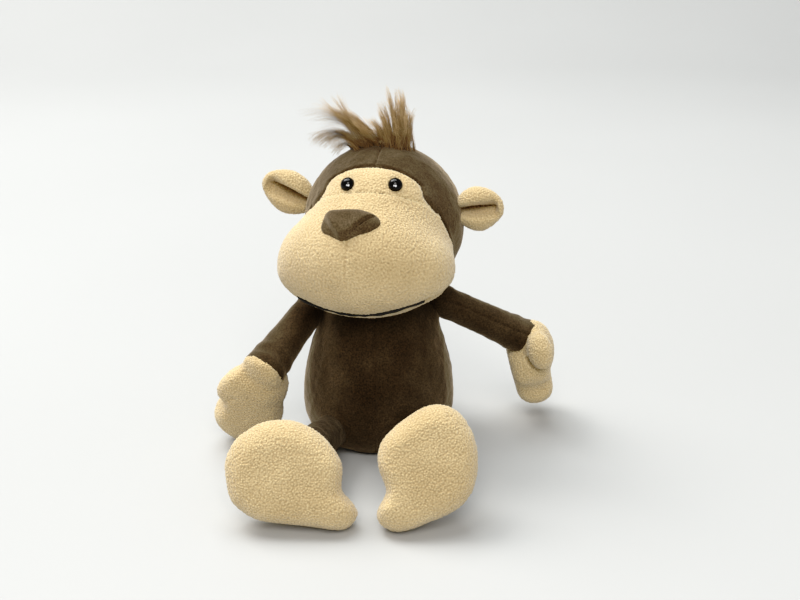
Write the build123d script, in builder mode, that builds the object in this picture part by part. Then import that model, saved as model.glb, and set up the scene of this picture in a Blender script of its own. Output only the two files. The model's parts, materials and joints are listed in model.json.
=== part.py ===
from build123d import *

import os
from math import asin, atan2, cos, degrees, radians, sin, sqrt

# Seated plush monkey, millimetres. The origin is the centre of the flat seat on the floor,
# +Z is up, the monkey faces -Y and its own left side is +X.

# ---- cloth, thread and clearances ----
CLOTH = 1.6  # pile fabric and its backing
SKIN_GAP = 0.15  # between cloth and the filling behind it
JOINT_GAP = 0.5  # between a ball-shaped limb end and the socket around it
BEND_ROOM = 2.5  # between a cuff and the pad that bends around it
THREAD = 0.5  # radius of a closing seam's thread bundle

# ---- torso ----
SEAT_RADIUS = 40
BELLY_RADIUS = 53.5
BELLY_HEIGHT = 28
CHEST_RADIUS = 48.5
CHEST_HEIGHT = 62
SHOULDER_RADIUS = 34
SHOULDER_HEIGHT = 94.5
TORSO_TOP_RADIUS = 18
TORSO_TOP = 103.5
POUCH_RADIUS = 30
POUCH_HEIGHT = 16
POUCH_LIFT = 5

# ---- head ----
HEAD_CENTRE = (4, 5, 151)
HEAD_YAW = 12  # the head looks this far towards the monkey's right
HOOD_RADIUS = 52
MUZZLE_WIDTH = 115
MUZZLE_DEPTH = 76
MUZZLE_END_RADIUS = 28
MUZZLE_FORWARD = 38  # muzzle centre, ahead of and below the hood centre
MUZZLE_DROP = 12
MUZZLE_SIDE = -3.5  # the soft muzzle leans a little to the monkey's right
FACE_EDGE_BACK = 8  # the hood starts this far ahead of the ears
FACE_TOP = 44
FACE_CORNER = (33, 24)
FACE_CHEEK = (54, 9)
BROW_SEAM = 31  # height of the forehead seam above the hood centre
MOUTH_SEAM = -41  # height of the mouth seam
MOUTH_CORD = 1.1
MOUTH_CORD_STANDOFF = 1.7  # from the cloth's outside to the middle of the cord
EYE_SPACING = 30
EYE_HEIGHT = 36.5
EYE_RADIUS = 4.2
EYE_SHANK = 1.4
EYE_SEAT = 0.1  # flat back of the eye, above the cloth
EYE_SHANK_LENGTH = 8
WASHER_RADIUS = 6
WASHER_THICKNESS = 1.2
NOSE_WIDTH = 38
NOSE_HEIGHT = 27
NOSE_THICKNESS = 16
NOSE_LIFT = 16  # nose centre above the hood centre
NOSE_SIDE = -7
NOSE_CORNER = 4  # rounding of the wedge's three upright edges
NOSE_RIM = 3
EAR_LENGTH = 30
EAR_HEIGHT = 28
EAR_THICKNESS = 10
EAR_LIFT = 12
EAR_ROOT_GAP = 3  # lets the ear fold without its root catching the hood
TUFT_WIDTH = 38
TUFT_THICKNESS = 14
TUFT_AT = (-3, -3)  # across and in front, on the crown
STRIP_SUNK = 6  # the cloth strip that carries the hair reaches this far under the crown
STRIP_PROUD = 1.2

# ---- neck ----
NECK = (0, 4, 104)
NECK_RADIUS = 16

# ---- arms and hands ----
SHOULDER = (42, 5, 96.5)
ROOT_RADIUS = 9  # wad in the pinched limb end at the body
ROOT_TUBE = 7.5  # the sleeve is this slim where it meets the wad
SLEEVE_RADIUS = 11.5
CUFF_RADIUS = 13
WRIST_RIGHT = (-75, -38, 63)
WRIST_LEFT = (100, 11, 67)
HAND_RUN_RIGHT = (-25, 25, -63)  # from wrist to fingertips
HAND_RUN_LEFT = (14, 29, -67)
THUMB_SIDE_RIGHT = (-1, 0, 0)
THUMB_SIDE_LEFT = (0, -1, 0)
HAND_LENGTH = 70
HAND_THICKNESS = 26

# ---- legs and feet ----
HIP = (31, -45, 20)
ANKLE_RIGHT = (-49, -105, 32)
ANKLE_LEFT = (30, -105, 37)
FOOT_THICKNESS = 26
FOOT_TILT = 20  # soles lean back this far from upright
FOOT_CENTRE_RIGHT = (-54, -122, 36.5)
FOOT_CENTRE_LEFT = (32, -122, 42)

# ---- outlines of the pads ----
# Share of the half thickness, and how wide the pillow still is there.
PILLOW_LEVELS = [(-1, 0.62), (-0.72, 0.88), (0, 1), (0.72, 0.88), (1, 0.62)]
# Mitten seen from the palm: the wrist is at the origin, fingers run along +y, the thumb is on +x.
MITTEN = [
    (14, 4),
    (23, 16),
    (25, 28),
    (21.5, 36),
    (25, 48),
    (16, HAND_LENGTH - 6),
    (-2, HAND_LENGTH),
    (-17, HAND_LENGTH - 12),
    (-21, 38),
    (-15, 12),
    (-13, 4),
]
# Soles, seen from ahead: x runs away from the other foot, y up the sole, the big toe points in and down.
SOLE_RIGHT = [
    (36.5, -3.5),
    (34, 11),
    (23, 23),
    (6, 29),
    (-13, 25.5),
    (-28, 13),
    (-35, -3),
    (-34, -15),
    (-44, -26),
    (-39, -36),
    (-23, -36.5),
    (-2, -34),
    (20, -30),
    (33, -19),
]
SOLE_LEFT = [
    (30, 1),
    (25, 20),
    (14, 31.5),
    (0, 32.5),
    (-13, 25),
    (-25, 15),
    (-31, 1),
    (-28, -11),
    (-25, -20),
    (-32, -34),
    (-25, -42),
    (2, -37),
    (19, -29),
    (28, -16),
]

# ---- tail ----
TAIL_ROOT = (0, 52.5, 22)
TAIL_RADIUS = 6.5
TAIL_BEND = (6, 76, 10)
TAIL_TIP = (30, 96, 7.5)

os.makedirs("parts", exist_ok=True)

mirror_sign = {"left": 1, "right": -1}
head_yaw = radians(HEAD_YAW)
head_across = Vector(cos(head_yaw), -sin(head_yaw), 0)
head_front = Vector(-sin(head_yaw), -cos(head_yaw), 0)
head_up = Vector(0, 0, 1)
head_level = Plane(origin=HEAD_CENTRE, x_dir=head_across, z_dir=head_up)
head_face = Plane(origin=HEAD_CENTRE, x_dir=head_across, z_dir=head_front)
head_middle = Plane(origin=HEAD_CENTRE, x_dir=head_front, z_dir=head_across)


def on_head(across, front, up):
    """A point given by its distances from the hood's centre, in the head's own directions."""
    return Vector(*HEAD_CENTRE) + head_across * across + head_front * front + head_up * up


def save(piece, name):
    """Label a finished piece and write its STEP file."""
    piece.part.label = name
    export_step(piece.part, f"parts/{name}.step")


def ball(centre, radius):
    """A ball, used for limb ends, for their sockets and for the neck."""
    with BuildPart(Plane(centre)) as round_end:
        Sphere(radius)
    return round_end.part


# ---------------------------------------------------------------- torso


def torso_body(inset):
    """Pear-shaped body of revolution, its surface this far inside the outside of the cloth."""
    top = TORSO_TOP - inset
    with BuildPart() as pear:
        with BuildSketch(Plane.XZ):
            with BuildLine():
                Line((0, inset), (SEAT_RADIUS, inset))
                haunch = EllipticalCenterArc(
                    (SEAT_RADIUS, BELLY_HEIGHT),
                    BELLY_RADIUS - SEAT_RADIUS - inset,
                    BELLY_HEIGHT - inset,
                    start_angle=-90,
                    arc_size=90,
                )
                Spline(
                    haunch @ 1,
                    (CHEST_RADIUS - inset, CHEST_HEIGHT),
                    (SHOULDER_RADIUS - 0.7 * inset, SHOULDER_HEIGHT - 0.7 * inset),
                    (TORSO_TOP_RADIUS, top),
                    tangents=((0, 1), (-1, 0)),
                )
                Line((TORSO_TOP_RADIUS, top), (0, top))
                Line((0, top), (0, inset))
            make_face()
        revolve(axis=Axis.Z)
    return pear.part


def torso_sockets(gap):
    """Balls that leave room in the torso for the neck, the arms, the legs and the tail."""
    balls = [ball(NECK, NECK_RADIUS + gap)]
    for sign in mirror_sign.values():
        balls.append(ball((sign * SHOULDER[0], *SHOULDER[1:]), ROOT_RADIUS + gap))
        balls.append(ball((sign * HIP[0], *HIP[1:]), ROOT_RADIUS + gap))
    balls.append(ball(TAIL_ROOT, TAIL_RADIUS + gap))
    return balls


torso_outside = torso_body(0)
torso_inside = torso_body(CLOTH)
torso_room = torso_sockets(JOINT_GAP)

with BuildPart() as torso_shell:
    add(torso_outside)
    add(torso_inside, mode=Mode.SUBTRACT)
    for room in torso_room:
        add(room, mode=Mode.SUBTRACT)

with BuildPart() as seat_panel:
    add(torso_shell.part)
    with BuildSketch():
        Circle(SEAT_RADIUS - CLOTH)
    extrude(amount=CLOTH, mode=Mode.INTERSECT)
save(seat_panel, "seat_panel")

with BuildPart() as torso_wall:
    add(torso_shell.part)
    with BuildSketch():
        Circle(SEAT_RADIUS - CLOTH)
    extrude(amount=CLOTH, mode=Mode.SUBTRACT)


def torso_panel(name, front, left):
    """One of the four upright panels, between the side seam and the middle seam."""
    with BuildPart() as panel:
        add(torso_wall.part)
        split(bisect_by=Plane.XZ, keep=Keep.TOP if front else Keep.BOTTOM)
        split(bisect_by=Plane.YZ, keep=Keep.TOP if left else Keep.BOTTOM)
    save(panel, name)


torso_panel("belly_panel_left", front=True, left=True)
torso_panel("belly_panel_right", front=True, left=False)
torso_panel("back_panel_left", front=False, left=True)
torso_panel("back_panel_right", front=False, left=False)


def pouch_body(inset):
    """Round cushion-shaped pouch that lies on the seat."""
    with BuildPart(Plane.XY.offset(POUCH_LIFT + inset)) as cushion:
        Cylinder(
            POUCH_RADIUS - inset,
            POUCH_HEIGHT - 2 * inset,
            align=(Align.CENTER, Align.CENTER, Align.MIN),
        )
        fillet(cushion.edges().filter_by(GeomType.CIRCLE), 0.35 * POUCH_HEIGHT)
    return cushion.part


with BuildPart() as pellet_pouch:
    add(pouch_body(0))
    add(pouch_body(0.8), mode=Mode.SUBTRACT)
save(pellet_pouch, "pellet_pouch")

with BuildPart() as seat_pellets:
    add(pouch_body(1))
save(seat_pellets, "seat_pellets")

with BuildPart() as torso_stuffing:
    add(torso_body(CLOTH + SKIN_GAP))
    for room in torso_room:
        add(room, mode=Mode.SUBTRACT)
    add(pouch_body(-SKIN_GAP), mode=Mode.SUBTRACT)
save(torso_stuffing, "torso_stuffing")

# ---------------------------------------------------------------- neck


def seam_wad(wad_name, thread_name, centre, direction, radius):
    """Ball-shaped wad of stuffing in a seam's opening, with the closing thread sunk around it."""
    seam = Plane(origin=centre, z_dir=direction)
    with BuildPart(seam) as thread:
        Torus(radius - 2 * THREAD, THREAD)
    save(thread, thread_name)
    with BuildPart(seam) as wad:
        Sphere(radius)
        Torus(radius - 2 * THREAD, THREAD, mode=Mode.SUBTRACT)
    save(wad, wad_name)


seam_wad("neck_wad", "neck_seam_thread", NECK, (0, 0, 1), NECK_RADIUS)

# ---------------------------------------------------------------- head


def muzzle_egg(inset):
    """Long egg lying across the face: a wide crown arc between two rounder end arcs, turned."""
    half_long = MUZZLE_WIDTH / 2 - inset
    half_deep = MUZZLE_DEPTH / 2 - inset
    end_radius = MUZZLE_END_RADIUS - inset
    reach = half_long - end_radius
    rise = half_deep - end_radius
    crown_drop = (reach**2 - rise**2) / (2 * rise)
    crown_radius = half_deep + crown_drop
    lean = degrees(atan2(reach, crown_drop))
    centre = on_head(MUZZLE_SIDE, MUZZLE_FORWARD, -MUZZLE_DROP)
    middle = Plane(origin=centre, x_dir=head_across, z_dir=head_up)
    with BuildPart() as egg:
        with BuildSketch(middle):
            with BuildLine():
                CenterArc((reach, 0), end_radius, 0, 90 - lean)
                CenterArc((0, -crown_drop), crown_radius, 90 - lean, 2 * lean)
                CenterArc((-reach, 0), end_radius, 90 + lean, 90 - lean)
                Line((-half_long, 0), (half_long, 0))
            make_face()
        revolve(axis=Axis(middle.origin, head_across))
    return egg.part


with BuildPart(Plane(NECK)) as neck_room:
    with BuildSketch(Plane(origin=NECK, x_dir=(1, 0, 0), z_dir=(0, -1, 0))):
        Polygon((0, -40), (38, -40), (38, -2.5), (34, -0.5), (28, 3), (20, 5), (0, 5), align=None)
    revolve(axis=Axis(NECK, (0, 0, 1)))
    Sphere(NECK_RADIUS + JOINT_GAP)


def head_body(inset):
    """Hood and muzzle as one swelling form, open to the neck below."""
    with BuildPart() as form:
        add(ball(HEAD_CENTRE, HOOD_RADIUS - inset))
        add(muzzle_egg(inset))
        add(neck_room.part, mode=Mode.SUBTRACT)
    return form.part


head_outside = head_body(0)

with BuildPart() as head_shell:
    add(head_outside)
    add(head_body(CLOTH), mode=Mode.SUBTRACT)

with BuildPart() as face_region:
    with BuildSketch(head_face.offset(FACE_EDGE_BACK)):
        with BuildLine():
            brow = ThreePointArc(
                (-FACE_CORNER[0], FACE_CORNER[1]), (0, FACE_TOP), (FACE_CORNER[0], FACE_CORNER[1])
            )
            left_edge = ThreePointArc(brow @ 1, (44, 16), FACE_CHEEK)
            right_edge = ThreePointArc(brow @ 0, (-44, 16), (-FACE_CHEEK[0], FACE_CHEEK[1]))
            Polyline(
                left_edge @ 1,
                (MUZZLE_WIDTH, FACE_CHEEK[1] - 4),
                (MUZZLE_WIDTH, -MUZZLE_WIDTH),
                (-MUZZLE_WIDTH, -MUZZLE_WIDTH),
                (-MUZZLE_WIDTH, FACE_CHEEK[1] - 4),
                right_edge @ 1,
            )
        make_face()
    extrude(amount=MUZZLE_WIDTH)


def eye_frame(sign):
    """Plane on the hood's surface at an eye, its z direction pointing out of the face."""
    across = sign * EYE_SPACING / 2
    front = sqrt((HOOD_RADIUS) ** 2 - across**2 - EYE_HEIGHT**2)
    centre = on_head(across, front, EYE_HEIGHT)
    return Plane(origin=centre, x_dir=head_across, z_dir=centre - Vector(*HEAD_CENTRE))


def eye_hole(sign):
    """Hole that the eye's shank passes through."""
    with BuildPart(eye_frame(sign)) as hole:
        Cylinder(EYE_SHANK + 0.1, 4 * EYE_SHANK_LENGTH)
    return hole.part


eye_holes = [eye_hole(sign) for sign in mirror_sign.values()]

with BuildPart() as hood:
    add(head_shell.part)
    add(face_region.part, mode=Mode.SUBTRACT)

with BuildPart() as hood_left:
    add(hood.part)
    split(bisect_by=head_middle, keep=Keep.TOP)
save(hood_left, "hood_left")

with BuildPart() as hood_right:
    add(hood.part)
    split(bisect_by=head_middle, keep=Keep.BOTTOM)
save(hood_right, "hood_right")

with BuildPart() as face_cloth:
    add(head_shell.part)
    add(face_region.part, mode=Mode.INTERSECT)
    for hole in eye_holes:
        add(hole, mode=Mode.SUBTRACT)

with BuildPart() as forehead_panel:
    add(face_cloth.part)
    split(bisect_by=head_level.offset(BROW_SEAM), keep=Keep.TOP)
save(forehead_panel, "forehead_panel")

with BuildPart() as muzzle_panel:
    add(face_cloth.part)
    split(bisect_by=head_level.offset(BROW_SEAM), keep=Keep.BOTTOM)
    split(bisect_by=head_level.offset(MOUTH_SEAM), keep=Keep.TOP)
save(muzzle_panel, "muzzle_panel")

with BuildPart() as chin_panel:
    add(face_cloth.part)
    split(bisect_by=head_level.offset(MOUTH_SEAM), keep=Keep.BOTTOM)
save(chin_panel, "chin_panel")

# The mouth cord lies along the muzzle's outline at the height of the mouth seam.
mouth_drop = -MOUTH_SEAM - MUZZLE_DROP
mouth_share = sqrt(1 - (mouth_drop / (MUZZLE_DEPTH / 2)) ** 2)
with BuildPart() as mouth_cord:
    with BuildLine(head_level.offset(MOUTH_SEAM)):
        mouth_line = EllipticalCenterArc(
            (MUZZLE_SIDE, -MUZZLE_FORWARD),
            mouth_share * MUZZLE_WIDTH / 2 + MOUTH_CORD_STANDOFF,
            mouth_share * MUZZLE_DEPTH / 2 + MOUTH_CORD_STANDOFF,
            start_angle=185,
            arc_size=170,
        )
    with BuildSketch(Plane(origin=mouth_line @ 0, z_dir=mouth_line % 0)):
        Circle(MOUTH_CORD)
    sweep()
save(mouth_cord, "mouth_cord")

for side, sign in mirror_sign.items():
    with BuildPart(eye_frame(sign)) as eye:
        Sphere(EYE_RADIUS)
        with Locations((0, 0, EYE_SEAT)):
            Box(
                4 * EYE_RADIUS,
                4 * EYE_RADIUS,
                2 * EYE_RADIUS,
                align=(Align.CENTER, Align.CENTER, Align.MAX),
                mode=Mode.SUBTRACT,
            )
            Cylinder(EYE_SHANK, EYE_SHANK_LENGTH, align=(Align.CENTER, Align.CENTER, Align.MAX))
    save(eye, f"eye_{side}")

    with BuildPart(eye_frame(sign).offset(-CLOTH - 0.5)) as eye_washer:
        Cylinder(WASHER_RADIUS, WASHER_THICKNESS, align=(Align.CENTER, Align.CENTER, Align.MAX))
        Cylinder(EYE_SHANK + 0.1, 3 * WASHER_THICKNESS, mode=Mode.SUBTRACT)
    save(eye_washer, f"eye_washer_{side}")


def washer_room(sign):
    """Room in the head stuffing for an eye's washer and shank."""
    with BuildPart(eye_frame(sign).offset(-CLOTH)) as room:
        Cylinder(
            WASHER_RADIUS + SKIN_GAP,
            WASHER_THICKNESS + 1,
            align=(Align.CENTER, Align.CENTER, Align.MAX),
        )
    return room.part


with BuildPart() as head_stuffing:
    add(head_body(CLOTH + SKIN_GAP))
    for sign, hole in zip(mirror_sign.values(), eye_holes):
        add(hole, mode=Mode.SUBTRACT)
        add(washer_room(sign), mode=Mode.SUBTRACT)
save(head_stuffing, "head_stuffing")


def nose_body(inset):
    """Rounded three-cornered wedge, point down, lying on the muzzle's upper front."""
    out = MUZZLE_FORWARD + sqrt((MUZZLE_DEPTH / 2) ** 2 - (NOSE_LIFT + MUZZLE_DROP) ** 2)
    slope = Vector(0, 0, 1) * (NOSE_LIFT + MUZZLE_DROP) + head_front * (out - MUZZLE_FORWARD)
    face = Plane(origin=on_head(NOSE_SIDE, out, NOSE_LIFT), x_dir=head_across, z_dir=slope)
    half_wide = NOSE_WIDTH / 2 - inset
    with BuildPart() as wedge:
        with BuildSketch(face.offset(-NOSE_THICKNESS / 2)):
            with BuildLine():
                Polyline(
                    (-half_wide, NOSE_HEIGHT / 2 - inset),
                    (half_wide, NOSE_HEIGHT / 2 - inset),
                    (0, 1.4 * inset - NOSE_HEIGHT / 2),
                    close=True,
                )
            make_face()
        extrude(amount=NOSE_THICKNESS - inset)
        fillet(wedge.edges().filter_by(Axis(face.origin, face.z_dir)), NOSE_CORNER)
        fillet(wedge.faces().sort_by(Axis(face.origin, face.z_dir))[-1].edges(), NOSE_RIM)
        add(head_outside, mode=Mode.SUBTRACT)
    return wedge


nose_outer = nose_body(0)
nose_inner = nose_body(CLOTH)
with BuildPart() as nose_cover:
    add(nose_outer.part)
    add(nose_inner.part, mode=Mode.SUBTRACT)
save(nose_cover, "nose_cover")

nose_stuffing = nose_body(CLOTH + SKIN_GAP)
save(nose_stuffing, "nose_stuffing")

# ---------------------------------------------------------------- ears


def ear_frame(sign):
    """Plane through the middle of an ear: x runs out of the head, z faces the way the head looks."""
    root = on_head(sign * HOOD_RADIUS, 0, EAR_LIFT)
    return Plane(origin=root, x_dir=head_across * sign, z_dir=head_front)


def ear_half(sign, front):
    """One cloth layer of an ear: a rounded leaf, domed on its outer side."""
    depth = EAR_THICKNESS / 2
    frame = ear_frame(sign)
    facing = 1 if front else -1
    with BuildPart() as layer:
        with BuildSketch(frame.offset(facing * SKIN_GAP / 2)):
            with BuildLine():
                Spline(
                    (EAR_ROOT_GAP, 0.28 * EAR_HEIGHT),
                    (0.55 * EAR_LENGTH, 0.5 * EAR_HEIGHT),
                    (EAR_LENGTH, 0),
                    (0.55 * EAR_LENGTH, -0.5 * EAR_HEIGHT),
                    (EAR_ROOT_GAP, -0.28 * EAR_HEIGHT),
                )
                Line((EAR_ROOT_GAP, 0.28 * EAR_HEIGHT), (EAR_ROOT_GAP, -0.28 * EAR_HEIGHT))
            make_face()
        extrude(amount=facing * depth)
        outer = layer.faces().sort_by(Axis(frame.origin, frame.z_dir * facing))[-1]
        fillet(outer.edges(), 0.6 * depth)
    return layer


for side, sign in mirror_sign.items():
    save(ear_half(sign, front=True), f"ear_front_{side}")
    save(ear_half(sign, front=False), f"ear_back_{side}")

# ---------------------------------------------------------------- hair

crown_height = sqrt(HOOD_RADIUS**2 - TUFT_AT[0] ** 2 - TUFT_AT[1] ** 2)
crown = on_head(TUFT_AT[0], TUFT_AT[1], crown_height)
tuft_face = Plane(origin=crown, x_dir=head_across, z_dir=head_front)
strip_bottom = Plane(origin=crown - head_up * STRIP_SUNK, x_dir=head_across, z_dir=head_up)

with BuildPart() as hair_strip:
    with BuildSketch(strip_bottom):
        SlotOverall(TUFT_WIDTH, TUFT_THICKNESS)
    extrude(amount=STRIP_SUNK + STRIP_PROUD)
    add(head_outside, mode=Mode.SUBTRACT)
save(hair_strip, "hair_strip")

with BuildPart() as hair_tuft:
    with BuildSketch(tuft_face.offset(-TUFT_THICKNESS / 2)):
        with BuildLine():
            Spline((-17, 1.6), (-24, 8), (-40, 12), (-44, 26), tangents=((-1, 0.5), (0, 1)))
            Spline((-44, 26), (-20, 22), (4, 32), (14, 44), tangents=((1, 0), (0.4, 1)))
            Spline((14, 44), (21, 28), (17, 1.6), tangents=((1, 0), (-0.4, -1)))
            Line((17, 1.6), (-17, 1.6))
        make_face()
    extrude(amount=TUFT_THICKNESS)
save(hair_tuft, "hair_tuft")

# ---------------------------------------------------------------- limbs


def sleeve_body(root, end, inset):
    """Tapered tube, hollowed around the wad at its root and ball-shaped at its cuff."""
    run = Vector(*end) - Vector(*root)
    across = run.cross(Vector(0, 0, 1))
    root_radius = ROOT_TUBE - inset
    tube_radius = SLEEVE_RADIUS - inset
    cuff_radius = CUFF_RADIUS - inset
    hollow = ROOT_RADIUS + JOINT_GAP
    root_start = sqrt(hollow**2 - root_radius**2)
    root_angle = degrees(asin(root_radius / hollow))
    cuff_start = run.length - sqrt(cuff_radius**2 - tube_radius**2)
    cuff_angle = degrees(asin(tube_radius / cuff_radius))
    with BuildPart() as tube:
        with BuildSketch(Plane(origin=root, x_dir=run, z_dir=across)):
            with BuildLine():
                CenterArc((0, 0), hollow, 0, root_angle)
                Line((root_start, root_radius), (cuff_start, tube_radius))
                CenterArc((run.length, 0), cuff_radius, 0, 180 - cuff_angle)
                Line((run.length + cuff_radius, 0), (hollow, 0))
            make_face()
        revolve(axis=Axis(root, run))
    return tube.part


def sleeve(name, root, end, side):
    """A limb's sleeve, its stuffing, and the wad and thread that close it onto the body."""
    with BuildPart() as cover:
        add(sleeve_body(root, end, 0))
        add(sleeve_body(root, end, CLOTH), mode=Mode.SUBTRACT)
    save(cover, f"{name}_sleeve_{side}")
    with BuildPart() as filling:
        add(sleeve_body(root, end, CLOTH + SKIN_GAP))
    save(filling, f"{name}_stuffing_{side}")


def pad_body(frame, outline, half_thickness, inset, room):
    """Pillow with a rounded rim: an outline in the frame's plane, narrowing towards both faces."""
    middle = Vector(
        sum(x for x, _ in outline) / len(outline),
        sum(y for _, y in outline) / len(outline),
    )
    reach = max((Vector(*point) - middle).length for point in outline)
    with BuildPart() as cushion:
        for level, spread in PILLOW_LEVELS:
            factor = spread * (1 - 1.3 * inset / reach)
            with BuildSketch(frame.offset(level * (half_thickness - inset))):
                with BuildLine():
                    points = [middle + (Vector(*point) - middle) * factor for point in outline]
                    Spline(*points, periodic=True)
                make_face()
        loft()
        add(room, mode=Mode.SUBTRACT)
    return cushion.part


def pad(names, frame, outline, half_thickness, room):
    """Two cloth panels, front and back, and the stuffing between them."""
    front_name, back_name, filling_name = names
    outside = pad_body(frame, outline, half_thickness, 0, room)
    inside = pad_body(frame, outline, half_thickness, CLOTH, room)
    with BuildPart() as front_panel:
        add(outside)
        add(inside, mode=Mode.SUBTRACT)
        split(bisect_by=frame, keep=Keep.TOP)
    save(front_panel, front_name)
    with BuildPart() as back_panel:
        add(outside)
        add(inside, mode=Mode.SUBTRACT)
        split(bisect_by=frame, keep=Keep.BOTTOM)
    save(back_panel, back_name)
    with BuildPart() as filling:
        add(pad_body(frame, outline, half_thickness, CLOTH + SKIN_GAP, room))
    save(filling, filling_name)


wrists = {"right": WRIST_RIGHT, "left": WRIST_LEFT}
hand_runs = {"right": HAND_RUN_RIGHT, "left": HAND_RUN_LEFT}
thumb_sides = {"right": THUMB_SIDE_RIGHT, "left": THUMB_SIDE_LEFT}

for side, sign in mirror_sign.items():
    shoulder = (sign * SHOULDER[0], *SHOULDER[1:])
    sleeve("arm", shoulder, wrists[side], side)
    seam_wad(
        f"shoulder_wad_{side}", f"shoulder_thread_{side}", shoulder, (sign, 0, 0), ROOT_RADIUS
    )
    fingers = Vector(*hand_runs[side]).normalized()
    thumb = Vector(*thumb_sides[side])
    thumb = (thumb - fingers * thumb.dot(fingers)).normalized()
    palm_frame = Plane(origin=wrists[side], x_dir=thumb, z_dir=thumb.cross(fingers))
    wrist_room = ball(wrists[side], CUFF_RADIUS + BEND_ROOM)
    pad(
        (f"hand_palm_{side}", f"hand_back_{side}", f"hand_stuffing_{side}"),
        palm_frame,
        MITTEN,
        HAND_THICKNESS / 2,
        wrist_room,
    )

ankles = {"right": ANKLE_RIGHT, "left": ANKLE_LEFT}
foot_centres = {"right": FOOT_CENTRE_RIGHT, "left": FOOT_CENTRE_LEFT}
soles = {"right": SOLE_RIGHT, "left": SOLE_LEFT}

for side, sign in mirror_sign.items():
    hip = (sign * HIP[0], *HIP[1:])
    sleeve("leg", hip, ankles[side], side)
    seam_wad(f"hip_wad_{side}", f"hip_thread_{side}", hip, (0, -1, 0), ROOT_RADIUS)
    lean = radians(FOOT_TILT)
    upright = Plane(
        origin=foot_centres[side],
        x_dir=(1, 0, 0),
        z_dir=(0, -cos(lean), sin(lean)),
    )
    outline = [(sign * x, y) for x, y in soles[side]]
    ankle_room = ball(ankles[side], CUFF_RADIUS + BEND_ROOM)
    pad(
        (f"foot_sole_{side}", f"foot_top_{side}", f"foot_stuffing_{side}"),
        upright,
        outline,
        FOOT_THICKNESS / 2,
        ankle_room,
    )

# ---------------------------------------------------------------- tail


def tail_body(inset):
    """Round tail that leaves the seat's back and curls along the floor."""
    with BuildPart() as tail:
        with BuildLine():
            tail_line = Spline(TAIL_ROOT, TAIL_BEND, TAIL_TIP, tangents=((0, 1, -0.35), (1, 0.2, 0)))
        with BuildSketch(Plane(origin=tail_line @ 0, z_dir=tail_line % 0)):
            Circle(TAIL_RADIUS - 0.5 - inset)
        sweep()
        add(ball(tail_line @ 0, TAIL_RADIUS - inset))
        add(ball(tail_line @ 1, TAIL_RADIUS - inset))
    return tail.part


with BuildPart() as tail_sleeve:
    add(tail_body(0))
    add(tail_body(CLOTH), mode=Mode.SUBTRACT)
save(tail_sleeve, "tail_sleeve")

with BuildPart() as tail_stuffing:
    add(tail_body(CLOTH + SKIN_GAP))
save(tail_stuffing, "tail_stuffing")
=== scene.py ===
import json
import random
from math import cos, hypot, pi, radians, sin, sqrt

import bmesh
import bpy
import numpy as np
from mathutils import Matrix, Vector


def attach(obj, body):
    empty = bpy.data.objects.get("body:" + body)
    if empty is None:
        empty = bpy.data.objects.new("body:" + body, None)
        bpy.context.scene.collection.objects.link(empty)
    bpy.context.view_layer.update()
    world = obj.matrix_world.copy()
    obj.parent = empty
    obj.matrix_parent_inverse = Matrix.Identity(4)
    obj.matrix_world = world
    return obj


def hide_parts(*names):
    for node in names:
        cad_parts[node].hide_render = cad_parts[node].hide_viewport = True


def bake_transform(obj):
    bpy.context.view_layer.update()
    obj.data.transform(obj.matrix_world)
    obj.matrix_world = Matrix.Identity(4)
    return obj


# Seated plush monkey. Metres in the row frame: +Z is up, the monkey faces -Y and its left side is +X.

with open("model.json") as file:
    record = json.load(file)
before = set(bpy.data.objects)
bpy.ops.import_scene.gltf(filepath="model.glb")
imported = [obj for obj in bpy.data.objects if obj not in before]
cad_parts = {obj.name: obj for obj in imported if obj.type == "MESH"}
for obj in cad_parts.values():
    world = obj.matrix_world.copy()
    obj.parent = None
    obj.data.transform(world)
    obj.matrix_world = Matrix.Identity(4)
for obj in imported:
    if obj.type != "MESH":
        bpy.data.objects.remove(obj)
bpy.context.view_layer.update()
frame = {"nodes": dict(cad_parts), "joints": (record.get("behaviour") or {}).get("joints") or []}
random.seed(7)

MM = 0.001

# ---- cloth ----
COARSE = 6.4 * MM  # cloth mesh that the stuffing pushes out
PRESSURE = 4.0
PUFF_FRAMES = 20
PUFF_LIMIT = 1.6 * MM  # the farthest that the stuffing moves the cloth
CURL = 1.3 * MM  # size of one fleece curl
CURL_HEIGHT = 0.56 * MM
VELOUR_LUMP = 9 * MM  # size of the soft unevenness under the velour

# ---- head ----
HOOD_RADIUS = 52 * MM
EAR_LIFT = 12 * MM  # ear roots above the hood's centre
MUZZLE_HALF_WIDTH = 57.5 * MM
MUZZLE_HALF_DEPTH = 38 * MM
MUZZLE_END_RADIUS = 28 * MM
MUZZLE_FORWARD = 38 * MM
MUZZLE_DROP = 12 * MM
MUZZLE_BLEND = 11 * MM  # how softly hood and muzzle run into each other
BROW_TOP = 45.8 * MM
BROW_CORNER = (33.5 * MM, 25 * MM)
BROW_SQUARENESS = 2.15  # 2 gives a round brow, more gives a squarer one
CHEEK = [(41 * MM, 18 * MM), (46 * MM, 14 * MM)]
# The hood's front edge beside the muzzle: height over the hood's centre, and how far ahead of it.
SIDE_SEAM = [(-22 * MM, 8 * MM), (-12 * MM, 11.5 * MM), (0.0, 20 * MM), (12 * MM, 24 * MM)]
MUZZLE_SIDE = -3.5 * MM
MUZZLE_SAG = (7 * MM, 4 * MM)  # how much lower its right and its left end hang
MUZZLE_NARROW = 0.2  # how much slimmer its left end is
# How far the pile stands out beyond a cover's edge, and how gently it rises to that.
FACE_PILE = (0.9 * MM, 2.5 * MM)
HOOD_PILE = (2.2 * MM, 12 * MM)
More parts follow.
